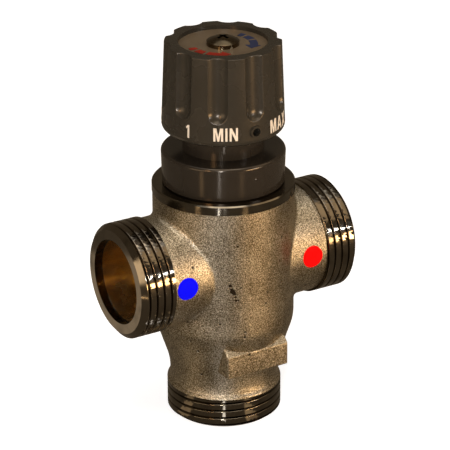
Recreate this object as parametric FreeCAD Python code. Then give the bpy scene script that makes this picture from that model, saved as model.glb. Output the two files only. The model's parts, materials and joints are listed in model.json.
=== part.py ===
import FreeCAD, Part
import math
import os

# Thermostatic mixing valve with three one-inch male ports. Millimetres, +Z up. The origin is the centre of the bottom
# port's end face, the valve's axis is Z, cold water comes in along -X, hot water along +X and mixed water leaves down.

# ---- driving dimensions: ports ----
THREAD_R = 16.62          # major radius of a one-inch parallel pipe thread
PORT_FACE_R = 15.0        # flat sealing face at the end of each port
PORT_CHAMFER = 1.3        # length of the lead-in chamfer
PORT_BORE_R = 12.0        # water way behind the machined mouth
PORT_MOUTH_R = 12.25      # machined mouth
PORT_MOUTH_DEPTH = 2.4
SIDE_PORT_Z = 48.0        # height of the side ports' axis
SIDE_PORT_X = 35.5        # end face of a side port
SIDE_THREAD = 10.4        # threaded length of a side port
BOTTOM_THREAD = 8.8       # threaded length of the bottom port
NECK_R = 16.0             # cast neck between a side port and the barrel
NECK_BLEND = 1.8          # cast radius where a neck meets the barrel

# ---- driving dimensions: barrel ----
SHOULDER_EDGE = 0.9       # rounded shoulder above the bottom thread
WAIST_R = 15.7
WAIST_Z = 12.6
FLARE_Z = 15.8            # the barrel flares from here ...
BARREL_Z = 29.6           # ... to here
BARREL_R = 20.25
RIM_R = 20.4              # bright machined ring at the top
RIM_Z = 69.0
BODY_TOP = 71.7
FLAT_Y = 19.0             # wrench flats, 38 mm across
FLAT_HALF_WIDTH = 10.1
FLAT_EDGE = 0.5           # cast rounding of the flats' edges
FLAT_Z = (18.4, 25.2)

# ---- driving dimensions: inside of the body ----
CHAMBER_R = 16.2          # ring chambers round the shuttle
COLD_CHAMBER = (50.0, 61.0)
HOT_CHAMBER = (38.0, 46.0)
SEAL_BORE_R = 13.05       # dividing wall
MIXING_R = 11.5           # mixing chamber below the hot seat
SPRING_SHELF_Z = 17.0
SPRING_SHELF_R = 8.0
OUTLET_DEPTH = 14.0
SIDE_BORE_END = 18.5      # the side bores stop here, and a window leads on
WINDOW_HALF_WIDTH = 9.0

# ---- driving dimensions: bonnet ----
BONNET_THREAD_R = 14.6
COLD_SEAT_Z = 58.0
BONNET_BORE_R = 10.5
BONNET_CEILING = 78.2
BONNET_FLANGE_R = 15.6
BONNET_FLANGE_Z = (72.5, 74.0)
HEX_FLATS = 26.0
HEX_TOP = 77.5
SHOULDER_R = 12.8
SHOULDER_TOP = 80.6
NECK_TUBE_R = 8.5
NECK_TUBE_TOP = 89.0
KEYWAY = (3.0, 1.2)       # width and depth, short of the cold seat's face

# ---- driving dimensions: shuttle and element ----
SHUTTLE_R = 13.0
SHUTTLE_Z = (39.6, 57.0)  # 1.6 mm off the hot seat and 1.0 mm off the cold seat
SHUTTLE_WALL = 1.5
SEAL_GROOVE_Z = (46.9, 49.1)
HUB_R = 7.6
HUB_Z = (43.4, 46.4)
ELEMENT_R = 6.0
ELEMENT_Z = 23.0
PISTON_R = 1.5
PISTON_Z = (47.0, 61.2)

# ---- driving dimensions: feed ----
NUT_R = 10.42
NUT_Z = (59.0, 74.4)
NUT_THREAD_R = 6.05
SPRING_ROOM_R = 8.5
SPRING_ROOM_TOP = 68.4
CAP_Z = (60.2, 61.6)
SPINDLE_THREAD_R = 6.0
SPINDLE_R = 5.0
FLANGE_R = 8.0
FLANGE_Z = (75.8, 77.6)
SQUARE = 7.6              # drive square in the knob
SPINDLE_TOP = 107.6
CLEARANCE = 0.05          # running fit of turning and sliding pieces

# ---- driving dimensions: collar and knob ----
COLLAR_LOW_R = 17.4       # the collar widens a little upwards
COLLAR_R = 17.7
COLLAR_EDGE = 1.0
COLLAR_TOP = 81.8
COLLAR_NECK_R = 11.56
COLLAR_NECK_TOP = 90.5
INDEX_DOT_Z = 77.8
INDEX_DOT_R = 0.5
KNOB_BOTTOM = 87.9
KNOB_TOP = 113.3
KNOB_LOW_R = 17.46
KNOB_HIGH_R = 16.4
KNOB_EDGE = 1.6
KNOB_WALL = 2.2
GRIP_EDGE = 0.28          # moulded rounding of the grooves and of the top edge
RECESS_R = 12.6
DISC_TOP = 112.1
DISC_THICK = 1.2
FLUTES = 10
FLUTE_R = 3.9
FLUTE_DEPTH = 1.4
FLUTE_LOW_Z = 95.0
EYELET_Z = 91.9
EYELET_R = (2.05, 1.75)
EYELET_HEIGHT = 0.55
EYELET_HOLE_R = 1.2
SCREW_HEAD_R = 4.6
SCREW_RIM = 1.1
SCREW_DOME = 1.4
RECESS_DEPTH = 2.2        # cross recess, its arms narrowing downwards
RECESS_REACH = 2.1
RECESS_ARM = 0.9
RECESS_TURN = 14.0
SCREW_R = 2.0
SCREW_LENGTH = 12.0
MARKER_R = 3.25           # paint dots that tell cold from hot
MARKER_Z = 48.7
COLD_MARKER_X = -21.2
HOT_MARKER_X = 20.2
PRINT = 0.1               # thickness of paint and print

UP = FreeCAD.Vector(0, 0, 1)
ORIGIN = FreeCAD.Vector(0, 0, 0)
X_AXIS = FreeCAD.Vector(1, 0, 0)
NODES = {}


def at(x, y, z):
    return FreeCAD.Vector(x, y, z)


def section_wire(corners):
    """Closed outline in the XZ plane. Each corner is (radius, height) or (radius, height, rounding)."""
    points = [at(c[0], 0, c[1]) for c in corners]
    count = len(points)
    starts, ends, arcs = [], [], []
    for i, corner in enumerate(corners):
        here = points[i]
        if len(corner) == 2:
            starts.append(here)
            ends.append(here)
            arcs.append(None)
            continue
        back = (points[i - 1] - here).normalize()
        ahead = (points[(i + 1) % count] - here).normalize()
        half = back.getAngle(ahead) / 2
        reach = corner[2] / math.tan(half)
        middle = (back + ahead).normalize()
        depth = corner[2] / math.sin(half) - corner[2]
        starts.append(here + back * reach)
        ends.append(here + ahead * reach)
        arcs.append(here + middle * depth)
    edges = []
    for i in range(count):
        if arcs[i] is not None:
            edges.append(Part.Arc(starts[i], arcs[i], ends[i]).toShape())
        follower = starts[(i + 1) % count]
        if ends[i].distanceToPoint(follower) > 1e-6:
            edges.append(Part.makeLine(ends[i], follower))
    return Part.Wire(edges)


def turned(corners):
    """Solid turned about Z from an outline of radii and heights."""
    return Part.Face(section_wire(corners)).revolve(ORIGIN, UP, 360)


def ring(inner, outer, low, high):
    return turned([(inner, low), (outer, low), (outer, high), (inner, high)])


def rod(radius, low, high):
    return Part.makeCylinder(radius, high - low, at(0, 0, low))


def side_rod(radius, x_from, x_to):
    """Cylinder along the side ports' axis."""
    low = min(x_from, x_to)
    return Part.makeCylinder(radius, abs(x_to - x_from), at(low, 0, SIDE_PORT_Z), X_AXIS)


def block(x_range, y_range, z_range):
    size = [high - low for low, high in (x_range, y_range, z_range)]
    return Part.makeBox(*size, at(x_range[0], y_range[0], z_range[0]))


def one_solid(shape):
    shape = shape.removeSplitter()
    return shape.Solids[0] if len(shape.Solids) == 1 else shape


def around(shape, count, first=0.0):
    """Copies of a shape, evenly spaced about Z."""
    copies = []
    for i in range(count):
        copy = shape.copy()
        copy.rotate(ORIGIN, UP, first + 360.0 * i / count)
        copies.append(copy)
    return copies


# ---- casing ----

def side_port(side):
    """Threaded end with its lead-in chamfer and the cast neck behind it; side is -1 for cold, +1 for hot."""
    thread_start = SIDE_PORT_X - SIDE_THREAD
    tip = turned([(0, 0), (PORT_FACE_R, 0), (THREAD_R, PORT_CHAMFER), (THREAD_R, SIDE_THREAD), (0, SIDE_THREAD)])
    tip.rotate(ORIGIN, at(0, 1, 0), -90 * side)
    tip.translate(at(side * SIDE_PORT_X, 0, SIDE_PORT_Z))
    neck = side_rod(NECK_R, 0, side * thread_start)
    return tip, neck


def barrel():
    return turned([
        (0, 0), (PORT_FACE_R, 0), (THREAD_R, PORT_CHAMFER), (THREAD_R, BOTTOM_THREAD + SHOULDER_EDGE, SHOULDER_EDGE),
        (WAIST_R + 0.2, BOTTOM_THREAD + 2 * SHOULDER_EDGE, SHOULDER_EDGE), (WAIST_R, WAIST_Z, 5),
        (WAIST_R, FLARE_Z, 20), (BARREL_R, BARREL_Z, 12),
        (BARREL_R, RIM_Z), (RIM_R, RIM_Z), (RIM_R, BODY_TOP - 0.35), (RIM_R - 0.35, BODY_TOP), (0, BODY_TOP)])


def wrench_flats():
    """Two opposite blocks for a 38 mm spanner, their upper edges sloped into the flare."""
    inner, slope = 8.0, 3.2
    low, high = FLAT_Z
    outline = [at(-FLAT_HALF_WIDTH, -y, z) for y, z in
               ((inner, low), (FLAT_Y, low), (FLAT_Y, high), (FLAT_Y - slope, high + slope), (inner, high + slope))]
    front = Part.Face(Part.makePolygon(outline + outline[:1])).extrude(X_AXIS * (2 * FLAT_HALF_WIDTH))
    outer = [edge for edge in front.Edges if edge.BoundBox.YMin < -inner - 1]
    return around(front.makeFillet(FLAT_EDGE, outer), 2)


def make_valve_body():
    tips, necks = zip(*(side_port(side) for side in (-1, 1)))
    cast = barrel().fuse(list(necks)).removeSplitter()
    seams = [e for e in cast.Edges
             if 10 < abs(e.CenterOfMass.x) < BARREL_R and not isinstance(e.Curve, (Part.Circle, Part.Line))]
    cast = cast.makeFillet(NECK_BLEND, seams)
    cast = cast.fuse(list(tips) + wrench_flats()).removeSplitter()

    cuts = [
        rod(PORT_MOUTH_R, -1, PORT_MOUTH_DEPTH),
        rod(PORT_BORE_R, 0, OUTLET_DEPTH),
        rod(SPRING_SHELF_R, OUTLET_DEPTH, SPRING_SHELF_Z),
        rod(MIXING_R, SPRING_SHELF_Z, HOT_CHAMBER[0]),
        rod(CHAMBER_R, *HOT_CHAMBER),
        rod(SEAL_BORE_R, HOT_CHAMBER[1], COLD_CHAMBER[0]),
        rod(CHAMBER_R, *COLD_CHAMBER),
        rod(BONNET_THREAD_R, COLD_CHAMBER[1], BODY_TOP + 1),
    ]
    for side, chamber in ((-1, COLD_CHAMBER), (1, HOT_CHAMBER)):
        window_top = min(chamber[1], SIDE_PORT_Z + 10)
        cuts.append(side_rod(PORT_MOUTH_R, side * (SIDE_PORT_X + 1), side * (SIDE_PORT_X - PORT_MOUTH_DEPTH)))
        cuts.append(side_rod(PORT_BORE_R, side * SIDE_PORT_X, side * SIDE_BORE_END))
        reach = sorted((side * 12.0, side * (SIDE_BORE_END + 0.5)))
        cuts.append(block(reach, (-WINDOW_HALF_WIDTH, WINDOW_HALF_WIDTH), (chamber[0], window_top)))
    body = cast.cut(cuts[0].multiFuse(cuts[1:]))
    return one_solid(body)


def make_bonnet():
    flange_low, flange_high = BONNET_FLANGE_Z
    outside = turned([(0, COLD_SEAT_Z), (SEAL_BORE_R, COLD_SEAT_Z), (SEAL_BORE_R, COLD_CHAMBER[1]),
                      (BONNET_THREAD_R, COLD_CHAMBER[1] + 0.6), (BONNET_THREAD_R, flange_low),
                      (BONNET_FLANGE_R, flange_low), (BONNET_FLANGE_R, flange_high), (SHOULDER_R, flange_high),
                      (SHOULDER_R, SHOULDER_TOP), (NECK_TUBE_R, SHOULDER_TOP), (NECK_TUBE_R, NECK_TUBE_TOP),
                      (0, NECK_TUBE_TOP)])
    spanner_hex = hexagon(HEX_FLATS, flange_high, HEX_TOP)
    inside = rod(BONNET_BORE_R, COLD_SEAT_Z - 1, BONNET_CEILING).fuse(
        rod(SPINDLE_R + CLEARANCE, BONNET_CEILING, NECK_TUBE_TOP + 1))
    width, depth = KEYWAY
    reach = BONNET_BORE_R + depth
    keyways = block((-reach, reach), (-width / 2, width / 2), (COLD_SEAT_Z - 1, NUT_Z[1] + 1.4))
    return one_solid(outside.fuse(spanner_hex).cut(inside.fuse(keyways)))


def hexagon(across_flats, low, high):
    corner = across_flats / 2 / math.cos(math.radians(30))
    points = [at(corner * math.cos(math.radians(60 * i)), corner * math.sin(math.radians(60 * i)), low)
              for i in range(7)]
    return Part.Face(Part.makePolygon(points)).extrude(UP * (high - low))


def make_bonnet_gasket():
    return ring(BONNET_THREAD_R, BONNET_FLANGE_R, BODY_TOP, BONNET_FLANGE_Z[0])


def make_index_collar():
    outside = turned([(NECK_TUBE_R, BODY_TOP), (COLLAR_LOW_R - 0.4, BODY_TOP), (COLLAR_LOW_R, BODY_TOP + 0.4),
                      (COLLAR_R, COLLAR_TOP, COLLAR_EDGE), (COLLAR_NECK_R, COLLAR_TOP),
                      (COLLAR_NECK_R, COLLAR_NECK_TOP), (NECK_TUBE_R, COLLAR_NECK_TOP)])
    dot = Part.makeSphere(INDEX_DOT_R, at(0, -COLLAR_R + 0.3, INDEX_DOT_Z))
    room = hexagon(HEX_FLATS, BODY_TOP, HEX_TOP).fuse(
        [rod(BONNET_FLANGE_R, BODY_TOP - 1, BONNET_FLANGE_Z[1]), rod(SHOULDER_R, HEX_TOP, SHOULDER_TOP)])
    return one_solid(outside.fuse(dot).cut(room))


def paint_dot(x):
    """Paint dot on the front of a neck, as thin as print."""
    skin = side_rod(NECK_R + PRINT, x - 5, x + 5).cut(side_rod(NECK_R, x - 6, x + 6))
    punch = Part.makeCylinder(MARKER_R, NECK_R, at(x, -NECK_R - 5, MARKER_Z), at(0, 1, 0))
    return one_solid(skin.common(punch))


def make_coil(radius, wire, low, high, turns):
    """Coil of round wire, drawn with a six-sided section, its ends ground to the two seats."""
    height = high - low
    pitch = (height - wire) / turns
    path = Part.makeHelix(pitch, height + 2 * pitch, radius)
    path.translate(at(0, 0, low - pitch))
    points = [at(radius + wire / 2 * math.cos(math.radians(60 * i)), 0,
                 low - pitch + wire / 2 * math.sin(math.radians(60 * i))) for i in range(7)]
    coil = Part.Wire(path.Edges).makePipeShell([Part.makePolygon(points)], True, True)
    return one_solid(coil.common(ring(radius - wire, radius + wire, low, high)))


# ---- knob group ----

def round_nosed_cutter(radius, length):
    """Upright cylinder with a half-sphere below the origin."""
    nose = Part.Arc(at(0, 0, -radius), at(radius * math.sin(math.radians(45)), 0, -radius * math.cos(math.radians(45))),
                    at(radius, 0, 0))
    side = Part.makePolygon([at(radius, 0, 0), at(radius, 0, length), at(0, 0, length), at(0, 0, -radius)])
    return Part.Face(Part.Wire([nose.toShape()] + side.Edges)).revolve(ORIGIN, UP, 360)


def make_knob():
    plate_low = DISC_TOP - DISC_THICK - 2.0
    shell = turned([
        (0, plate_low), (KNOB_HIGH_R - KNOB_WALL, plate_low), (KNOB_LOW_R - KNOB_WALL, KNOB_BOTTOM),
        (KNOB_LOW_R, KNOB_BOTTOM, KNOB_EDGE), (KNOB_HIGH_R, KNOB_TOP), (RECESS_R, KNOB_TOP), (RECESS_R, DISC_TOP - DISC_THICK), (0, DISC_TOP - DISC_THICK)])
    taper = math.degrees(math.atan((KNOB_LOW_R - KNOB_HIGH_R) / (KNOB_TOP - KNOB_BOTTOM)))
    surface_r = KNOB_LOW_R - (FLUTE_LOW_Z + 3 - KNOB_BOTTOM) * math.tan(math.radians(taper))
    scoop = round_nosed_cutter(FLUTE_R, 30)
    scoop.rotate(ORIGIN, at(0, 1, 0), -taper)
    scoop.translate(at(surface_r - FLUTE_DEPTH + FLUTE_R, 0, FLUTE_LOW_Z + 3))
    knob = shell.cut(around(scoop, FLUTES, -90))
    grip = [edge for edge in knob.Edges
            if edge.BoundBox.ZMax > FLUTE_LOW_Z and math.hypot(edge.CenterOfMass.x, edge.CenterOfMass.y) > RECESS_R + 1
            and (isinstance(edge.Curve, Part.BSplineCurve) or edge.BoundBox.ZMin > KNOB_TOP - 0.01)]
    knob = knob.makeFillet(GRIP_EDGE, grip)

    hub = rod(7.0, NECK_TUBE_TOP + 2.5, plate_low)
    rib = block((6, KNOB_LOW_R - KNOB_WALL + 0.4), (-0.8, 0.8), (COLLAR_NECK_TOP + 1.5, plate_low + 1))
    knob = knob.fuse([hub] + around(rib, 5, -72))
    eyelet = Part.makeCone(*EYELET_R, EYELET_HEIGHT + 1.0, at(0, -KNOB_LOW_R + 1.1, EYELET_Z), at(0, -1, 0))
    hole = Part.makeCylinder(EYELET_HOLE_R, 6, at(0, -KNOB_LOW_R + 4, EYELET_Z), at(0, -1, 0))
    half = SQUARE / 2
    socket = block((-half, half), (-half, half), (NECK_TUBE_TOP, SPINDLE_TOP))
    return one_solid(knob.fuse(eyelet).cut([hole, socket, rod(SCREW_R + 0.1, SPINDLE_TOP - 1, KNOB_TOP)]))


def make_dial_disc():
    return ring(SCREW_R + 0.1, RECESS_R, DISC_TOP - DISC_THICK, DISC_TOP)


def arc_field(inner, outer, start, stop):
    """Flat field of print between two radii and two angles."""
    def point(radius, angle):
        return at(radius * math.cos(math.radians(angle)), radius * math.sin(math.radians(angle)), DISC_TOP)
    middle = (start + stop) / 2
    edges = [Part.Arc(point(outer, start), point(outer, middle), point(outer, stop)).toShape(),
             Part.makeLine(point(outer, stop), point(inner, stop)),
             Part.Arc(point(inner, stop), point(inner, middle), point(inner, start)).toShape(),
             Part.makeLine(point(inner, start), point(outer, start))]
    return Part.Face(Part.Wire(edges)).extrude(UP * PRINT)


def arrow(start, way):
    """Curved arrow of two dashes, a body and a head; way is +1 for anticlockwise and -1 for clockwise."""
    fields = [arc_field(7.95, 10.2, *sorted((start, start + way * 9.5))),
              arc_field(7.75, 9.9, *sorted((start + way * 16, start + way * 33)))]
    body = arc_field(7.5, 9.75, *sorted((start + way * 39.5, start + way * 67)))
    corners = [(6.25, start + way * 66.5), (10.5, start + way * 66.5), (8.6, start + way * 84.5)]
    points = [at(r * math.cos(math.radians(a)), r * math.sin(math.radians(a)), DISC_TOP) for r, a in corners]
    head = Part.Face(Part.makePolygon(points + points[:1])).extrude(UP * PRINT)
    return Part.makeCompound(fields + [one_solid(body.fuse(head))])


def make_knob_screw():
    rim_top = DISC_TOP + SCREW_RIM
    dome_r = (SCREW_HEAD_R ** 2 + SCREW_DOME ** 2) / (2 * SCREW_DOME)
    dome = Part.makeSphere(dome_r, at(0, 0, rim_top + SCREW_DOME - dome_r)).common(
        rod(SCREW_HEAD_R, rim_top - 0.01, rim_top + SCREW_DOME))
    screw = rod(SCREW_HEAD_R, DISC_TOP, rim_top).fuse([dome, rod(SCREW_R, DISC_TOP - SCREW_LENGTH, DISC_TOP)])
    head_top = rim_top + SCREW_DOME
    slot = block((-RECESS_REACH, RECESS_REACH), (-RECESS_ARM / 2, RECESS_ARM / 2), (head_top - RECESS_DEPTH, head_top))
    cross = slot.fuse(around(slot, 1, 90)).common(
        Part.makeCone(RECESS_ARM, RECESS_REACH, RECESS_DEPTH, at(0, 0, head_top - RECESS_DEPTH)))
    cross.rotate(ORIGIN, UP, RECESS_TURN)
    return one_solid(screw.cut(cross))


def make_spindle():
    groove_r = SPINDLE_R - 1.4
    low_groove, high_groove = (80.4, 81.9), (84.2, 85.7)
    clip_groove = (NECK_TUBE_TOP + 0.2, NECK_TUBE_TOP + 1.0)
    outline = [(0, SPRING_ROOM_TOP), (SPINDLE_THREAD_R, SPRING_ROOM_TOP), (SPINDLE_THREAD_R, FLANGE_Z[0]),
               (FLANGE_R, FLANGE_Z[0]), (FLANGE_R, FLANGE_Z[1]), (SPINDLE_R, FLANGE_Z[1])]
    for (low, high), radius in ((low_groove, groove_r), (high_groove, groove_r), (clip_groove, 4.2)):
        outline += [(SPINDLE_R, low), (radius, low), (radius, high), (SPINDLE_R, high)]
    outline += [(SPINDLE_R, SPINDLE_TOP), (0, SPINDLE_TOP)]
    half = SQUARE / 2
    flats = block((-9, 9), (-9, 9), (NECK_TUBE_TOP + 2.5, SPINDLE_TOP + 1)).cut(
        block((-half, half), (-half, half), (NECK_TUBE_TOP, SPINDLE_TOP + 2)))
    return one_solid(turned(outline).cut([flats, rod(SCREW_R, SPINDLE_TOP - 14, SPINDLE_TOP + 1)]))


def spindle_seal(low):
    """Ring seal in a spindle groove, just clear of the bonnet's bore."""
    return ring(SPINDLE_R - 1.4, SPINDLE_R + CLEARANCE - 0.02, low, low + 1.5)


def make_thrust_washer():
    return ring(SPINDLE_R, FLANGE_R, FLANGE_Z[1], BONNET_CEILING - CLEARANCE)


def snap_ring(inner, outer, low, high):
    """Open retaining ring with a gap at the back."""
    return one_solid(ring(inner, outer, low, high).cut(block((-1.5, 1.5), (0, outer + 1), (low - 1, high + 1))))


# ---- feed nut group ----

def make_feed_nut():
    low, high = NUT_Z
    sleeve = turned([(SPRING_ROOM_R, low), (NUT_R, low), (NUT_R, high), (NUT_THREAD_R, high),
                     (NUT_THREAD_R, SPRING_ROOM_TOP), (SPRING_ROOM_R, SPRING_ROOM_TOP),
                     (SPRING_ROOM_R, CAP_Z[0]), (SPRING_ROOM_R + 0.6, CAP_Z[0]),
                     (SPRING_ROOM_R + 0.6, low + 0.4), (SPRING_ROOM_R, low + 0.4)])
    width, depth = KEYWAY
    reach = BONNET_BORE_R + depth - 0.1
    keys = block((-reach, reach), (-width / 2 + CLEARANCE, width / 2 - CLEARANCE), (low + 2, high))
    return one_solid(sleeve.fuse(keys.cut(rod(NUT_R - 0.5, low, high + 1))))


def make_overload_cap():
    low, high = CAP_Z
    return turned([(0, PISTON_Z[1]), (PISTON_R, PISTON_Z[1]), (PISTON_R, low - 1.0), (3.2, low - 1.0),
                   (3.2, low), (SPRING_ROOM_R - 0.1, low), (SPRING_ROOM_R - 0.1, high), (3.2, high),
                   (3.2, high + 1.2), (0, high + 1.2)])


# ---- shuttle group ----

def make_shuttle():
    low, high = SHUTTLE_Z
    inner = SHUTTLE_R - SHUTTLE_WALL
    groove_low, groove_high = SEAL_GROOVE_Z
    groove_r = SHUTTLE_R - 1.6
    rim = turned([(inner, low), (SHUTTLE_R, low), (SHUTTLE_R, groove_low), (groove_r, groove_low),
                  (groove_r, groove_high), (SHUTTLE_R, groove_high), (SHUTTLE_R, high), (inner, high),
                  (inner, groove_high + 2), (inner - 1.6, groove_high + 0.6), (inner - 1.6, HUB_Z[0]),
                  (inner, HUB_Z[0] - 1.4)])
    hub = ring(ELEMENT_R, HUB_R, *HUB_Z)
    spoke = block((HUB_R - 0.4, inner - 1.0), (-1.2, 1.2), HUB_Z)
    return one_solid(rim.fuse([hub] + around(spoke, 4, 45)))


def make_sensing_element():
    top = HUB_Z[1]
    return turned([(0, ELEMENT_Z), (ELEMENT_R - 1.5, ELEMENT_Z), (ELEMENT_R, ELEMENT_Z + 1.5), (ELEMENT_R, top),
                   (HUB_R - 0.2, top), (HUB_R - 0.2, top + 1.8), (4.2, top + 3.4), (4.2, 55.0),
                   (PISTON_R + CLEARANCE, 55.0), (PISTON_R + CLEARANCE, PISTON_Z[0] - 1.6), (0, PISTON_Z[0] - 1.6)])


def make_parts():
    NODES["valve_body"] = make_valve_body()
    NODES["bonnet"] = make_bonnet()
    NODES["bonnet_gasket"] = make_bonnet_gasket()
    NODES["index_collar"] = make_index_collar()
    NODES["cold_marker"] = paint_dot(COLD_MARKER_X)
    NODES["hot_marker"] = paint_dot(HOT_MARKER_X)
    NODES["return_spring"] = make_coil(8.8, 1.3, SPRING_SHELF_Z, HUB_Z[0], 5)

    NODES["knob"] = make_knob()
    NODES["dial_disc"] = make_dial_disc()
    NODES["cold_arrow"] = arrow(29, -1)
    NODES["hot_arrow"] = arrow(169.5, 1)
    NODES["knob_screw"] = make_knob_screw()
    NODES["spindle"] = make_spindle()
    NODES["lower_spindle_seal"] = spindle_seal(80.4)
    NODES["upper_spindle_seal"] = spindle_seal(84.2)
    NODES["thrust_washer"] = make_thrust_washer()
    NODES["spindle_clip"] = snap_ring(4.2, 6.6, NECK_TUBE_TOP + 0.2, NECK_TUBE_TOP + 1.0)

    NODES["feed_nut"] = make_feed_nut()
    NODES["feed_nut_clip"] = snap_ring(6.6, SPRING_ROOM_R + 0.6, NUT_Z[0] + 0.4, CAP_Z[0])
    NODES["overload_spring"] = make_coil(7.3, 1.4, CAP_Z[1], SPRING_ROOM_TOP, 2.5)

    NODES["overload_cap"] = make_overload_cap()
    NODES["element_piston"] = rod(PISTON_R, *PISTON_Z)

    NODES["shuttle"] = make_shuttle()
    NODES["shuttle_seal"] = ring(SHUTTLE_R - 1.6, SEAL_BORE_R - 0.02, *SEAL_GROOVE_Z)
    NODES["sensing_element"] = make_sensing_element()
    NODES["element_clip"] = snap_ring(ELEMENT_R, HUB_R, HUB_Z[0] - 0.8, HUB_Z[0])


make_parts()
os.makedirs("parts", exist_ok=True)
for name, shape in NODES.items():
    shape.exportStep("parts/" + name + ".step")
    print(name, len(shape.Solids), shape.isValid(), round(shape.Volume, 1))
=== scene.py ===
import json
import math
import bpy
from mathutils import Matrix, Vector


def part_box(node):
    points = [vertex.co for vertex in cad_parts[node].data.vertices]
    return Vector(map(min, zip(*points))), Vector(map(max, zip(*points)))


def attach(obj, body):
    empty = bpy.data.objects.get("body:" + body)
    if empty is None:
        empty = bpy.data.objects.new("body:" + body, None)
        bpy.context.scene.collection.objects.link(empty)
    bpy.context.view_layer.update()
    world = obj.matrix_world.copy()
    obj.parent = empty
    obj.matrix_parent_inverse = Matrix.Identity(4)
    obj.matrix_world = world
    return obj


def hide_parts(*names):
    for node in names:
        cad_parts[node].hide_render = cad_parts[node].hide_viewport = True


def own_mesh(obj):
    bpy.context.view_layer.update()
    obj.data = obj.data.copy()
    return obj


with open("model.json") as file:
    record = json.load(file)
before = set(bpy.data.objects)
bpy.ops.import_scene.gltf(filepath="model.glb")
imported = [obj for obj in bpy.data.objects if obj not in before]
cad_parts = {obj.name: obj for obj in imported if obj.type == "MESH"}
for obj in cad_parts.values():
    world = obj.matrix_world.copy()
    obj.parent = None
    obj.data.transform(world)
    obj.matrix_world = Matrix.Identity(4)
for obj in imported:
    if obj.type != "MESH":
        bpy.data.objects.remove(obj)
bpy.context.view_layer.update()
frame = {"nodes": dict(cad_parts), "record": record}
nodes = frame["nodes"]
mounts = {mount["name"]: mount for mount in frame["record"]["mounts"]}
mm = 0.001                                   # every size below is in metres, written as millimetres * mm

# places that the frame gives
valveLow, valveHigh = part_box("valve_body")
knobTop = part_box("knob")[1].z
sidePortZ = mounts["cold_port_thread"]["pos_m"][2]
threadRadius = mounts["cold_port_thread"]["dims"]["r_mm"] * mm
mergeDistance = 0.001 * mm                   # doubled points of a solid's mesh are merged within this
sharpEdge = {"casting": 32, "coil": 60}      # degrees: an edge that turns by more stays sharp
print("frame loaded:", len(nodes), "nodes")


def hexColor(code):
    # sRGB hex to the linear colour that Blender works in
    def linear(value):
        return value / 12.92 if value <= 0.04045 else ((value + 0.055) / 1.055) ** 2.4
    return tuple(linear(int(code[i:i + 2], 16) / 255) for i in (1, 3, 5)) + (1.0,)


def direction(azimuth, elevation):
    # azimuth from the front (-Y) towards +X, in degrees
    a, e = math.radians(azimuth), math.radians(elevation)
    return Vector((math.sin(a) * math.cos(e), -math.cos(a) * math.cos(e), math.sin(e)))


def selectOnly(piece):
    if bpy.context.object and bpy.context.object.mode != "OBJECT":
        bpy.ops.object.mode_set(mode="OBJECT")
    bpy.ops.object.select_all(action="DESELECT")
    piece.select_set(True)
    bpy.context.view_layer.objects.active = piece


def applyModifier(piece, kind, **settings):
    selectOnly(piece)
    modifier = piece.modifiers.new(kind.title(), kind)
    for name, value in settings.items():
        setattr(modifier, name, value)
    bpy.ops.object.modifier_apply(modifier=modifier.name)


def bakePlace(piece):
    selectOnly(piece)
    bpy.ops.object.transform_apply(location=True, rotation=True, scale=True)


def smoothByAngle(piece, degrees):
    selectOnly(piece)
    bpy.ops.object.shade_smooth_by_angle(angle=math.radians(degrees))


def addNode(material, kind, settings=None, links=None):
    # capitalised names and numbers are sockets, the rest are the node's own settings
    node = material.node_tree.nodes.new(kind)
    for name, value in (settings or {}).items():
        if isinstance(name, int) or name[0].isupper():
            node.inputs[name].default_value = value
        else:
            setattr(node, name, value)
    for name, source in (links or {}).items():
        material.node_tree.links.new(source, node.inputs[name])
    return node


def newMaterial(name, **sockets):
    material = bpy.data.materials.new(name)
    material.use_nodes = True
    shader = material.node_tree.nodes["Principled BSDF"]
    for socket, value in sockets.items():
        shader.inputs[socket.replace("_", " ")].default_value = value
    return material, shader


def colorSteps(node, steps):
    # places and hex colours of a colour ramp
    ramp = node.color_ramp
    while len(ramp.elements) < len(steps):
        ramp.elements.new(0.5)
    for element, (place, code) in zip(ramp.elements, steps):
        element.position = place
        element.color = hexColor(code)


def noiseAt(material, place, size, detail, **settings):
    # soft noise whose blotches have that size
    return addNode(material, "ShaderNodeTexNoise", {"Scale": 1 / size, "Detail": detail, **settings},
                   {"Vector": place}).outputs[0]


def remap(material, value, reach, result=(0.0, 1.0)):
    # as value goes through reach, the outcome goes through result, and it stays at the end values outside
    return addNode(material, "ShaderNodeMapRange", {"From Min": reach[0], "From Max": reach[1],
                   "To Min": result[0], "To Max": result[1]}, {"Value": value}).outputs[0]


def mixColors(material, share, first, second):
    # the second hex colour covers the first by that share
    return addNode(material, "ShaderNodeMix", {"data_type": "RGBA", 6: hexColor(first), 7: hexColor(second)},
                   {0: share}).outputs[2]


def drive(material, shader, sockets):
    # what each of the shader's sockets follows
    for socket, source in sockets.items():
        material.node_tree.links.new(source, shader.inputs[socket])


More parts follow.
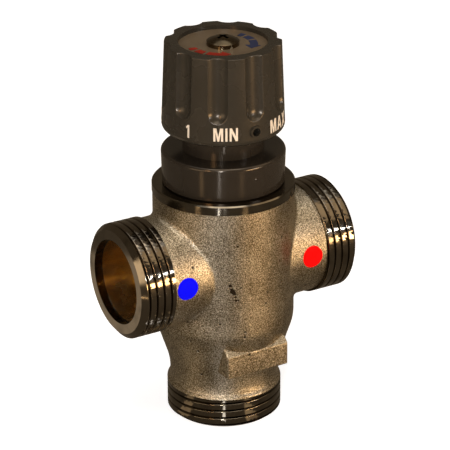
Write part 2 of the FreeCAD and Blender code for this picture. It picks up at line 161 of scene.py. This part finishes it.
castingLook = {"grain": 0.32 * mm, "grainDetail": 2.0, "grainRoughness": 0.6,
               "patch": 9 * mm, "patchDetail": 3.0, "patchWeight": 0.2, "patchReach": (0.3, 0.7),
               # tone of the grain's hollows, middle and peaks, by height: a random grain tone with painted shade in
               # the hollows and painted highlight on the peaks
               "tones": [(0.43, "#574e3e"), (0.60, "#9a8e78"), (0.76, "#e6dac1")],
               "roughness": (0.35, 0.40), "bump": 0.9, "relief": 0.14 * mm,
               # the pits' tone is painted shade inside them
               "pitSpacing": 4.5 * mm, "pitReach": (0.05, 0.11), "pitShadeTone": "#3a3126", "pitDepth": -1.5,
               # a cluster of sand holes on the front of the barrel: middle, half width and half height
               "flaw": (-8.2 * mm, -18.5 * mm, 45.8 * mm), "flawSize": (0.9 * mm, 4.8 * mm),
               "flawFacing": -25, "flawLean": -22, "flawHole": 0.9 * mm, "flawHoleDetail": 1.0,
               "flawFade": 0.45, "flawReach": (0.72, 0.82)}
turnedLook = {"cut": 0.25 * mm, "cutDetail": 2.0, "cutDepth": 0.02 * mm, "cloud": 5 * mm, "cloudDetail": 3.0,
              "tarnishReach": (0.45, 0.75), "dullReach": (0.35, 0.7), "dullShare": (0.7, 1.6)}
mouldedLook = {"skin": 0.22 * mm, "skinDetail": 2.0, "skinDepth": 0.02 * mm, "flow": 7 * mm, "flowDetail": 3.0,
               "flowReach": (0.3, 0.7), "roughnessSpread": 0.015, "index": 1.5, "sheen": "#ffeed8"}
inkLook = {"wear": 0.6 * mm, "wearDetail": 3.0, "wearReach": (0.58, 0.8), "gloss": 0.08}


def makeFlawMask(material, place):
    # 1 in the holes of the cluster, which lie in a leaning oval on the barrel
    look = castingLook
    leaned = addNode(material, "ShaderNodeVectorRotate",
                     {"Center": look["flaw"], "Axis": direction(look["flawFacing"], 0),
                      "Angle": math.radians(look["flawLean"])}, {"Vector": place}).outputs[0]
    reach = addNode(material, "ShaderNodeVectorMath", {"operation": "SUBTRACT", 1: look["flaw"]},
                    {0: leaned}).outputs[0]
    wide, tall = look["flawSize"]
    reach = addNode(material, "ShaderNodeVectorMath", {"operation": "MULTIPLY", 1: (1 / wide, 1 / wide, 1 / tall)},
                    {0: reach}).outputs[0]
    reach = addNode(material, "ShaderNodeVectorMath", {"operation": "LENGTH"}, {0: reach}).outputs["Value"]
    holes = noiseAt(material, place, look["flawHole"], look["flawHoleDetail"])
    level = addNode(material, "ShaderNodeMath", {"operation": "MULTIPLY_ADD", 1: look["flawFade"]},
                    {0: reach, 2: holes}).outputs[0]
    return remap(material, level, look["flawReach"], (1.0, 0.0))


def makeBlastedNickel():
    # nickel plate over a brass sand casting, blasted matt: a coarse bright grain with painted shade in its hollows
    # and painted highlight on its peaks, dull patches and a few pits painted dark as the shade in them
    look = castingLook
    material, shader = newMaterial("blastedNickelPlate", Metallic=1.0)
    place = addNode(material, "ShaderNodeTexCoord").outputs["Object"]
    grain = noiseAt(material, place, look["grain"], look["grainDetail"], Roughness=look["grainRoughness"])
    patch = noiseAt(material, place, look["patch"], look["patchDetail"])
    pits = addNode(material, "ShaderNodeTexVoronoi", {"Scale": 1 / look["pitSpacing"]},
                   {"Vector": place}).outputs["Distance"]
    pitMask = remap(material, pits, look["pitReach"], (1.0, 0.0))
    holeMask = addNode(material, "ShaderNodeMath", {"operation": "MAXIMUM"},
                       {0: pitMask, 1: makeFlawMask(material, place)}).outputs[0]
    tone = addNode(material, "ShaderNodeMath", {"operation": "MULTIPLY_ADD", 1: look["patchWeight"]},
                   {0: patch, 2: grain}).outputs[0]
    # the grain's colour follows its bump height: painted shade in the hollows, painted highlight on the peaks
    ramp = addNode(material, "ShaderNodeValToRGB", links={"Fac": tone})
    colorSteps(ramp, look["tones"])
    # the pits and the holes of the cluster are painted dark as the shade in them; the bump sinks them as well
    color = addNode(material, "ShaderNodeMix", {"data_type": "RGBA", 7: hexColor(look["pitShadeTone"])},
                    {0: holeMask, 6: ramp.outputs[0]}).outputs[2]
    height = addNode(material, "ShaderNodeMath", {"operation": "MULTIPLY_ADD", 1: look["pitDepth"]},
                     {0: holeMask, 2: grain}).outputs[0]
    skin = addNode(material, "ShaderNodeBump", {"Strength": look["bump"], "Distance": look["relief"]},
                   {"Height": height})
    dull = remap(material, patch, look["patchReach"], look["roughness"])
    drive(material, shader, {"Base Color": color, "Roughness": dull, "Normal": skin.outputs[0]})
    return material


def makeTurnedMetal(name, axis, base, tarnish, roughness, bump=0.25):
    # a lathe-turned metal face: fine rings along the axis of the cut, and a light uneven tarnish
    look = turnedLook
    material, shader = newMaterial(name, Metallic=1.0)
    place = addNode(material, "ShaderNodeTexCoord").outputs["Object"]
    along = addNode(material, "ShaderNodeSeparateXYZ", links={0: place}).outputs[axis]
    rings = addNode(material, "ShaderNodeTexNoise",
                    {"noise_dimensions": "1D", "Scale": 1 / look["cut"], "Detail": look["cutDetail"]}, {"W": along})
    cloud = noiseAt(material, place, look["cloud"], look["cloudDetail"])
    color = mixColors(material, remap(material, cloud, look["tarnishReach"]), base, tarnish)
    dull = remap(material, cloud, look["dullReach"], [roughness * share for share in look["dullShare"]])
    skin = addNode(material, "ShaderNodeBump", {"Strength": bump, "Distance": look["cutDepth"]},
                   {"Height": rings.outputs[0]})
    drive(material, shader, {"Base Color": color, "Roughness": dull, "Normal": skin.outputs[0]})
    return material


def makeMouldedPlastic(name, light, dark, roughness, bump=0.12):
    # injection-moulded plastic: even colour with a slight flow mottling and a fine satin skin
    look = mouldedLook
    material, shader = newMaterial(name, IOR=look["index"], Specular_Tint=hexColor(look["sheen"]))
    place = addNode(material, "ShaderNodeTexCoord").outputs["Object"]
    grain = noiseAt(material, place, look["skin"], look["skinDetail"])
    flow = noiseAt(material, place, look["flow"], look["flowDetail"])
    color = mixColors(material, flow, dark, light)
    spread = look["roughnessSpread"]
    dull = remap(material, flow, look["flowReach"], (roughness - spread, roughness + spread))
    skin = addNode(material, "ShaderNodeBump", {"Strength": bump, "Distance": look["skinDepth"]}, {"Height": grain})
    drive(material, shader, {"Base Color": color, "Roughness": dull, "Normal": skin.outputs[0]})
    return material


def makeInk(name, code, worn, roughness=0.55):
    # a flat print or dab of paint, a little thin in places
    look = inkLook
    material, shader = newMaterial(name, Roughness=roughness, Specular_IOR_Level=look["gloss"])
    place = addNode(material, "ShaderNodeTexCoord").outputs["Object"]
    wear = remap(material, noiseAt(material, place, look["wear"], look["wearDetail"]), look["wearReach"])
    drive(material, shader, {"Base Color": mixColors(material, wear, code, worn)})
    return material


blastedNickel = makeBlastedNickel()
turnedNickelX = makeTurnedMetal("turnedNickelAcross", "X", "#7b7264", "#5b5346", 0.10, bump=0.12)
turnedNickelZ = makeTurnedMetal("turnedNickelUpright", "Z", "#736b5d", "#585046", 0.11)
rawBrass = makeTurnedMetal("boredBrass", "X", "#e6cd9c", "#b39a6c", 0.20)
turnedBrass = makeTurnedMetal("turnedBrass", "Z", "#c9a35a", "#94713a", 0.22)
knobPlastic = makeMouldedPlastic("satinAbsKnob", "#312d26", "#2a2720", 0.27)
collarPlastic = makeMouldedPlastic("glossAbsCollar", "#2a251f", "#24201a", 0.16, bump=0.05)
discPlastic = makeMouldedPlastic("polycarbonateDisc", "#776854", "#695b49", 0.20, bump=0.04)
markerBlue = makeInk("blueMarkerPaint", "#0000ff", "#0000e6", 0.7)
markerRed = makeInk("redMarkerPaint", "#ff0000", "#ea0000", 0.7)
inkBlue = makeInk("bluePadPrint", "#343a55", "#40404a")
inkRed = makeInk("redPadPrint", "#9c2f22", "#703a2d")
inkCream = makeInk("creamPadPrint", "#ddd0bd", "#b8a994")
screwSteel = makeTurnedMetal("platedScrewSteel", "Z", "#6b5c45", "#43392b", 0.16)
springSteel = makeTurnedMetal("springSteel", "Z", "#9a9a98", "#77766f", 0.25)
sealRubber = makeMouldedPlastic("nitrileSeal", "#26262a", "#1a1a1c", 0.5)
slipPlastic = makeMouldedPlastic("acetalWasher", "#ddd8cc", "#cfc9ba", 0.4)
fibreSheet = makeMouldedPlastic("fibreGasket", "#7d3f2f", "#6a3426", 0.75, bump=0.4)
elementCopper = makeTurnedMetal("elementCopper", "Z", "#c47c55", "#8f563a", 0.2)

finishes = {"bonnet": turnedBrass, "bonnet_gasket": fibreSheet, "index_collar": collarPlastic,
            "cold_marker": markerBlue, "hot_marker": markerRed, "return_spring": springSteel, "knob": knobPlastic,
            "dial_disc": discPlastic, "cold_arrow": inkBlue, "hot_arrow": inkRed, "knob_screw": screwSteel,
            "spindle": turnedBrass, "lower_spindle_seal": sealRubber, "upper_spindle_seal": sealRubber,
            "thrust_washer": slipPlastic, "spindle_clip": springSteel, "feed_nut": turnedBrass,
            "feed_nut_clip": springSteel, "overload_spring": springSteel, "overload_cap": turnedBrass,
            "element_piston": springSteel, "shuttle": turnedBrass, "shuttle_seal": sealRubber,
            "sensing_element": elementCopper, "element_clip": springSteel}
for name, material in finishes.items():
    nodes[name].data.materials.clear()
    nodes[name].data.materials.append(material)
print("materials made and put on", len(finishes), "nodes")


cameraView = {"azimuth": -31.05, "elevation": 23.98, "roll": -0.156, "distance": 704 * mm,
              "target": Vector((0.5, 0, 57.17)) * mm, "lens": 196.9, "sensor": 36, "nearest": 10 * mm}

bpy.ops.object.camera_add()
camera = bpy.context.object
camera.matrix_world = (
    Matrix.Translation(cameraView["target"]
                       + direction(cameraView["azimuth"], cameraView["elevation"]) * cameraView["distance"])
    @ Matrix.Rotation(math.radians(cameraView["azimuth"]), 4, "Z")
    @ Matrix.Rotation(math.radians(90 - cameraView["elevation"]), 4, "X")
    @ Matrix.Rotation(math.radians(cameraView["roll"]), 4, "Z"))
camera.data.lens = cameraView["lens"]
camera.data.sensor_width = cameraView["sensor"]
camera.data.clip_start = cameraView["nearest"]
bpy.context.scene.camera = camera
bpy.context.scene.view_settings.view_transform = "Standard"
print("camera set")

# the room's tone is the glow of a painted reflection of dim surroundings, seen only in the metal and the plastic
studio = {"floorSize": 8, "floorTint": "#d8d8d8", "floorGlow": 0.80, "worldGlow": 1.0, "ambient": 0.10,
          "roomRadius": 1.5, "roomHeight": 2.6, "roomSides": 64, "roomLift": 0.5 * mm, "roomReflectionTone": "#64594a",
          "stripLift": 1 * mm}
# each lamp: azimuth, elevation, distance, width, height, power, colour
lamps = {"flash": (-36, 15, 0.80, 0.05, 0.07, 2.6, "#f6f8ff"),
         "warmLeft": (-58, 20, 0.80, 0.12, 0.12, 0.9, "#ffcf9c"),
         "lowLeft": (-78, 6, 0.80, 0.40, 0.40, 1.2, "#ffe6c4"),
         "windowRight": (29, 17, 0.80, 0.20, 0.02, 0.8, "#eaf1ff"),
         "warmRight": (24, 2.5, 0.80, 0.34, 0.13, 3.2, "#ffd5a0"),
         "rightGlow": (58, 46, 0.90, 0.55, 0.45, 0.85, "#ffe4bf"),
         "ceiling": (-20, 75, 1.30, 0.9, 0.9, 6.5, "#fff1e0")}
# strips on the floor that draw thin lines in the polished metal and the dark plastic: azimuth, near end, far end,
# width, power, colour
floorStrips = {"stripNeck": (-29, 0.203, 0.228, 0.012, 0.009, "#f4f6ff"),
               "stripRim": (-38, 0.168, 0.178, 0.006, 0.006, "#f4f6ff"),
               "stripRimLeft": (-70, 0.168, 0.178, 0.020, 0.003, "#ffd9a8"),
               "stripRimRight": (2, 0.168, 0.178, 0.024, 0.002, "#ffd9a8"),
               "stripPortFace": (-133, 0.08, 0.14, 0.06, 0.006, "#ffe9cd"),
               "stripBottom": (-31, 0.020, 0.036, 0.0014, 0.0003, "#f4f6ff"),
               "stripBottomLeft": (-84, 0.018, 0.034, 0.006, 0.0002, "#ffe2bb"),
               "stripBottomRight": (3, 0.018, 0.036, 0.005, 0.00025, "#ffe2bb")}


def seenDirectly(owner):
    # 1 for a ray from the camera, a mirror or glass, and 0 for the light that falls on things
    path = addNode(owner, "ShaderNodeLightPath").outputs
    seen = addNode(owner, "ShaderNodeMath", {"operation": "MAXIMUM"},
                   {0: path["Is Camera Ray"], 1: path["Is Glossy Ray"]}).outputs[0]
    return addNode(owner, "ShaderNodeMath", {"operation": "MAXIMUM"},
                   {0: seen, 1: path["Is Transmission Ray"]}).outputs[0]


def makeFloor():
    bpy.ops.mesh.primitive_plane_add(size=studio["floorSize"], location=(0, 0, 0))
    floor = bpy.context.object
    floor.name = "floor"
    material, shader = newMaterial("paleFloor", Roughness=0.9, Base_Color=hexColor(studio["floorTint"]),
                                   Emission_Color=hexColor("#ffffff"))
    glow = addNode(material, "ShaderNodeMath", {"operation": "MULTIPLY", 1: studio["floorGlow"]},
                   {0: seenDirectly(material)}).outputs[0]
    material.node_tree.links.new(glow, shader.inputs["Emission Strength"])
    floor.data.materials.append(material)


def makeWorld():
    world = bpy.data.worlds.new("studioWorld")
    bpy.context.scene.world = world
    world.use_nodes = True
    background = world.node_tree.nodes["Background"]
    strength = addNode(world, "ShaderNodeMapRange", {"To Min": studio["ambient"], "To Max": studio["worldGlow"]},
                       {"Value": seenDirectly(world)}).outputs[0]
    background.inputs["Color"].default_value = hexColor("#ffffff")
    world.node_tree.links.new(strength, background.inputs["Strength"])


def makeDimRoom():
    # a painted reflection: dim glowing walls and floor, open at the top, that the metal and the plastic mirror
    # instead of the pale floor and world; only mirrored rays see them
    bpy.ops.mesh.primitive_cylinder_add(vertices=studio["roomSides"], radius=studio["roomRadius"],
                                        depth=studio["roomHeight"], end_fill_type="NGON",
                                        location=(0, 0, studio["roomHeight"] / 2 + studio["roomLift"]))
    room = bpy.context.object
    room.name = "dimRoom"
    bpy.ops.object.mode_set(mode="EDIT")
    bpy.ops.mesh.select_all(action="DESELECT")
    bpy.ops.object.mode_set(mode="OBJECT")
    for face in room.data.polygons:
        face.select = face.normal.z > 0.5    # the lid is the one face that looks up
    bpy.ops.object.mode_set(mode="EDIT")
    bpy.ops.mesh.delete(type="FACE")
    bpy.ops.object.mode_set(mode="OBJECT")
    # the painted reflection glows in the room's tone and has no colour of its own
    material, shader = newMaterial("paintedRoomReflection", Roughness=1.0, Base_Color=hexColor("#000000"),
                                   Emission_Color=hexColor(studio["roomReflectionTone"]), Emission_Strength=1.0)
    room.data.materials.append(material)
    room.visible_camera = room.visible_diffuse = room.visible_shadow = room.visible_transmission = False


def addLamp(name, place, turn, width, height, power, code):
    bpy.ops.object.light_add(type="AREA", location=place)
    lamp = bpy.context.object
    lamp.name = name
    lamp.rotation_euler = turn
    lamp.data.shape = "RECTANGLE"
    lamp.data.size, lamp.data.size_y = width, height
    lamp.data.energy = power
    lamp.data.color = hexColor(code)[:3]
    return lamp


def makeLamps():
    middle = Vector((0, 0, (valveLow.z + knobTop) / 2))
    for name, (azimuth, elevation, distance, *sizeAndLight) in lamps.items():
        toLamp = direction(azimuth, elevation)
        addLamp(name, middle + toLamp * distance, (-toLamp).to_track_quat("-Z", "Y").to_euler(), *sizeAndLight)
    for name, (azimuth, near, far, width, power, code) in floorStrips.items():
        place = direction(azimuth, 0) * (near + far) / 2 + Vector((0, 0, studio["stripLift"]))
        strip = addLamp(name, place, (math.pi, 0, math.radians(azimuth)), width, far - near, power, code)
        strip.visible_camera = False


makeFloor()
makeWorld()
makeDimRoom()
makeLamps()
print("studio set")

thread = {"pitch": 2.309 * mm, "steps": 72, "sideLength": 10.4 * mm, "bottomLength": 9.0 * mm, "tipOverrun": 1.4 * mm,
          # height over the crest and half width of the groove, in millimetres: a narrow root, straight flanks, and a
          # rounded crest edge
          "groove": [(-0.80, 0.07), (-0.12, 0.29), (-0.03, 0.37), (0.0, 0.46), (0.3, 0.75)]}


def drawOutlines(name, outlines, filled=True):
    # flat closed outlines as one mesh; an outline inside another is a hole
    curve = bpy.data.curves.new(name, "CURVE")
    curve.dimensions, curve.fill_mode = "2D", "BOTH" if filled else "NONE"
    for outline in outlines:
        spline = curve.splines.new("POLY")
        spline.points.add(len(outline) - 1)
        for point, (x, y) in zip(spline.points, outline):
            point.co = (x, y, 0, 1)
        spline.use_cyclic_u = True
    drawing = bpy.data.objects.new(name, curve)
    bpy.context.scene.collection.objects.link(drawing)
    selectOnly(drawing)
    bpy.ops.object.convert(target="MESH")
    return bpy.context.object


def threadCutter(name, turns):
    # the groove between two crests, swept up the Z axis as a closed bar
    left = [(threadRadius + height * mm, -half * mm) for height, half in thread["groove"]]
    right = [(threadRadius + height * mm, half * mm) for height, half in reversed(thread["groove"])]
    cutter = drawOutlines(name, [left + right], filled=False)
    cutter.rotation_euler = (math.radians(90), 0, 0)
    bakePlace(cutter)
    steps = int(thread["steps"] * turns)
    applyModifier(cutter, "SCREW", axis="Z", angle=2 * math.pi * turns, screw_offset=thread["pitch"] * turns,
                  steps=steps, render_steps=steps, use_merge_vertices=False)
    bpy.ops.object.mode_set(mode="EDIT")
    bpy.ops.mesh.select_all(action="DESELECT")
    bpy.ops.mesh.select_mode(type="EDGE")
    bpy.ops.mesh.select_non_manifold()
    bpy.ops.mesh.edge_face_add()
    bpy.ops.mesh.select_all(action="SELECT")
    bpy.ops.mesh.normals_make_consistent(inside=False)
    bpy.ops.object.mode_set(mode="OBJECT")
    return cutter


def cutThread(piece, tip, axis, length):
    # tip is the end of the port, and axis points from the port into the casting
    start = tip - axis * thread["tipOverrun"]
    cutter = threadCutter("threadCutter", (length + thread["tipOverrun"]) / thread["pitch"])
    cutter.matrix_world = Matrix.Translation(start) @ axis.to_track_quat("Z", "Y").to_matrix().to_4x4()
    bakePlace(cutter)
    applyModifier(piece, "BOOLEAN", operation="DIFFERENCE", object=cutter, solver="EXACT")
    bpy.data.objects.remove(cutter)


def mergedCopy(name, node):
    # the solid's mesh as a piece of its own, with the doubled points along its edges merged
    piece = bpy.data.objects.new(name, nodes[node].data.copy())
    bpy.context.scene.collection.objects.link(piece)
    selectOnly(piece)
    bpy.ops.object.mode_set(mode="EDIT")
    bpy.ops.mesh.select_all(action="SELECT")
    bpy.ops.mesh.remove_doubles(threshold=mergeDistance)
    bpy.ops.object.mode_set(mode="OBJECT")
    bpy.ops.mesh.customdata_custom_splitnormals_clear()
    return piece


def makeCasting():
    casting = mergedCopy("threadedCasting", "valve_body")
    side = Vector((0, 0, sidePortZ))
    cutThread(casting, side + Vector((valveLow.x, 0, 0)), Vector((1, 0, 0)), thread["sideLength"])
    cutThread(casting, side + Vector((valveHigh.x, 0, 0)), Vector((-1, 0, 0)), thread["sideLength"])
    cutThread(casting, Vector((0, 0, valveLow.z)), Vector((0, 0, 1)), thread["bottomLength"])
    return casting


# where the cutting tools have been: everything else on the outside is the cast skin
machined = {"rimLow": 69.0 * mm, "bottomTop": 9.3 * mm, "sideStart": 25.1 * mm, "mouthRadius": 12.4 * mm,
            "mouthDepth": 2.45 * mm, "boreRadius": 14.9 * mm, "chamberRadius": 16.3 * mm, "chamberLow": 38 * mm,
            "chamberHigh": 61 * mm, "sideBoreStart": 16 * mm, "edge": 0.02 * mm}
castingFinishes = {"castSkin": blastedNickel, "turnedAcross": turnedNickelX, "turnedUpright": turnedNickelZ,
                   "bored": rawBrass}


def finishOf(center):
    fromUpright = math.hypot(center.x, center.y)
    fromSide = math.hypot(center.y, center.z - sidePortZ)
    out, edge = abs(center.x), machined["edge"]
    if out > machined["sideStart"] - edge:
        behindMouth = fromSide < machined["mouthRadius"] and out < valveHigh.x - machined["mouthDepth"] - edge
        return "bored" if behindMouth else "turnedAcross"
    if center.z > machined["rimLow"] - edge and fromUpright > machined["boreRadius"]:
        return "turnedUpright"
    if center.z < machined["mouthDepth"] and fromUpright < machined["mouthRadius"]:
        return "turnedUpright"
    inBarrelBore = fromUpright < machined["boreRadius"] and center.z > edge
    inChamber = (machined["chamberLow"] - edge < center.z < machined["chamberHigh"] + edge
                 and fromUpright < machined["chamberRadius"])
    inSideBore = out > machined["sideBoreStart"] and fromSide < machined["mouthRadius"]
    if inBarrelBore or inChamber or inSideBore:
        return "bored"
    return "turnedUpright" if center.z < machined["bottomTop"] else "castSkin"


casting = makeCasting()
casting.data.materials.clear()
for material in castingFinishes.values():
    casting.data.materials.append(material)
finishSlots = {name: number for number, name in enumerate(castingFinishes)}
for face in casting.data.polygons:
    face.material_index = finishSlots[finishOf(face.center)]
smoothByAngle(casting, sharpEdge["casting"])
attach(casting, "valve_body")
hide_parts("valve_body")
print("casting threaded:", len(casting.data.polygons), "faces")

# each coil is a merged, smooth-shaded copy of its spring that rides on its body; its joint and fixed end are listed
# but not read
coils = {"returnCoil": {"node": "return_spring", "body": "valve_body", "joint": "shuttle_stroke",
                        "fixedEnd": "low"},
         "overloadCoil": {"node": "overload_spring", "body": "feed_nut", "joint": "overload_travel",
                          "fixedEnd": "high"}}


def makeCoil(name, coil):
    piece = mergedCopy(name, coil["node"])
    smoothByAngle(piece, sharpEdge["coil"])
    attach(piece, coil["body"])
    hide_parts(coil["node"])
    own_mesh(piece)


for name, coil in coils.items():
    makeCoil(name, coil)
print("springs coiled")

# the print on the knob; each word has its text and its angle round the knob, in degrees
lettering = {"height": 3.8 * mm, "middle": 91.9 * mm, "thickness": 0.04 * mm, "lift": 0.01 * mm, "gap": 0.16,
             "figureWeight": 0.02, "cuts": 3,
             "words": {"markOne": ("1", -155.4), "markMin": ("MIN", -118.8), "markMax": ("MAX", -57.5),
                       "markTwo": ("2", -207.8), "markThree": ("3", -260.2), "markFour": ("4", -312.6),
                       "markFive": ("5", -5)}}
# outlines of the bold condensed letters, in letter heights; a second outline is a hole
letterShapes = {
    "1": [[(0.13, 0), (0.28, 0), (0.28, 1), (0.17, 1), (0.0, 0.85), (0.0, 0.70), (0.13, 0.78)]],
    "M": [[(0, 0), (0.15, 0), (0.15, 0.70), (0.29, 0), (0.42, 0), (0.56, 0.70), (0.56, 0), (0.71, 0), (0.71, 1),
           (0.49, 1), (0.355, 0.34), (0.22, 1), (0, 1)]],
    "I": [[(0, 0), (0.15, 0), (0.15, 1), (0, 1)]],
    "N": [[(0, 0), (0.145, 0), (0.145, 0.66), (0.44, 0), (0.605, 0), (0.605, 1), (0.46, 1), (0.46, 0.36),
           (0.165, 1), (0, 1)]],
    "A": [[(0, 0), (0.155, 0), (0.205, 0.22), (0.465, 0.22), (0.515, 0), (0.67, 0), (0.42, 1), (0.25, 1)],
          [(0.24, 0.37), (0.335, 0.79), (0.43, 0.37)]],
    "X": [[(0, 0), (0.165, 0), (0.315, 0.34), (0.465, 0), (0.63, 0), (0.40, 0.51), (0.62, 1), (0.455, 1),
           (0.315, 0.67), (0.175, 1), (0.01, 1), (0.23, 0.51)]]}
# the knob's side, a slight cone
knobCone = {"lowRadius": 17.46 * mm, "highRadius": 16.4 * mm, "low": 87.9 * mm, "high": 113.3 * mm}


def knobRadius(z):
    share = (z - knobCone["low"]) / (knobCone["high"] - knobCone["low"])
    return knobCone["lowRadius"] + share * (knobCone["highRadius"] - knobCone["lowRadius"])


def drawWord(name, text):
    outlines, start = [], 0.0
    for letter in text:
        outlines += [[(start + x, y) for x, y in outline] for outline in letterShapes[letter]]
        start += max(x for x, y in letterShapes[letter][0]) + lettering["gap"]
    return drawOutlines(name, outlines)


def setFigure(name, text):
    # a figure in the plain letters that text_add has
    bpy.ops.object.text_add(location=(0, 0, 0))
    bpy.context.object.data.body = text
    bpy.context.object.data.offset = lettering["figureWeight"]
    bpy.ops.object.convert(target="MESH")
    bpy.context.object.name = name
    return bpy.context.object


def makeWord(name, text, angle):
    word = drawWord(name, text) if text[0] in letterShapes else setFigure(name, text)
    low, high = min(v.co.y for v in word.data.vertices), max(v.co.y for v in word.data.vertices)
    left, right = min(v.co.x for v in word.data.vertices), max(v.co.x for v in word.data.vertices)
    scale = lettering["height"] / (high - low)
    bpy.ops.object.mode_set(mode="EDIT")
    bpy.ops.mesh.select_all(action="SELECT")
    bpy.ops.mesh.quads_convert_to_tris()
    bpy.ops.mesh.subdivide(number_cuts=lettering["cuts"])
    bpy.ops.object.mode_set(mode="OBJECT")
    for vertex in word.data.vertices:        # wrapped round the knob's cone
        across = (vertex.co.x - (left + right) / 2) * scale
        z = lettering["middle"] + (vertex.co.y - (low + high) / 2) * scale
        radius = knobRadius(z) + lettering["lift"]
        turn = math.radians(angle) + across / radius
        vertex.co = (radius * math.cos(turn), radius * math.sin(turn), z)
    applyModifier(word, "SOLIDIFY", thickness=lettering["thickness"], offset=1.0)
    word.data.materials.clear()
    word.data.materials.append(inkCream)
    bakePlace(word)
    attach(word, "knob")


for name, (text, angle) in lettering["words"].items():
    makeWord(name, text, angle)
print("lettering printed")
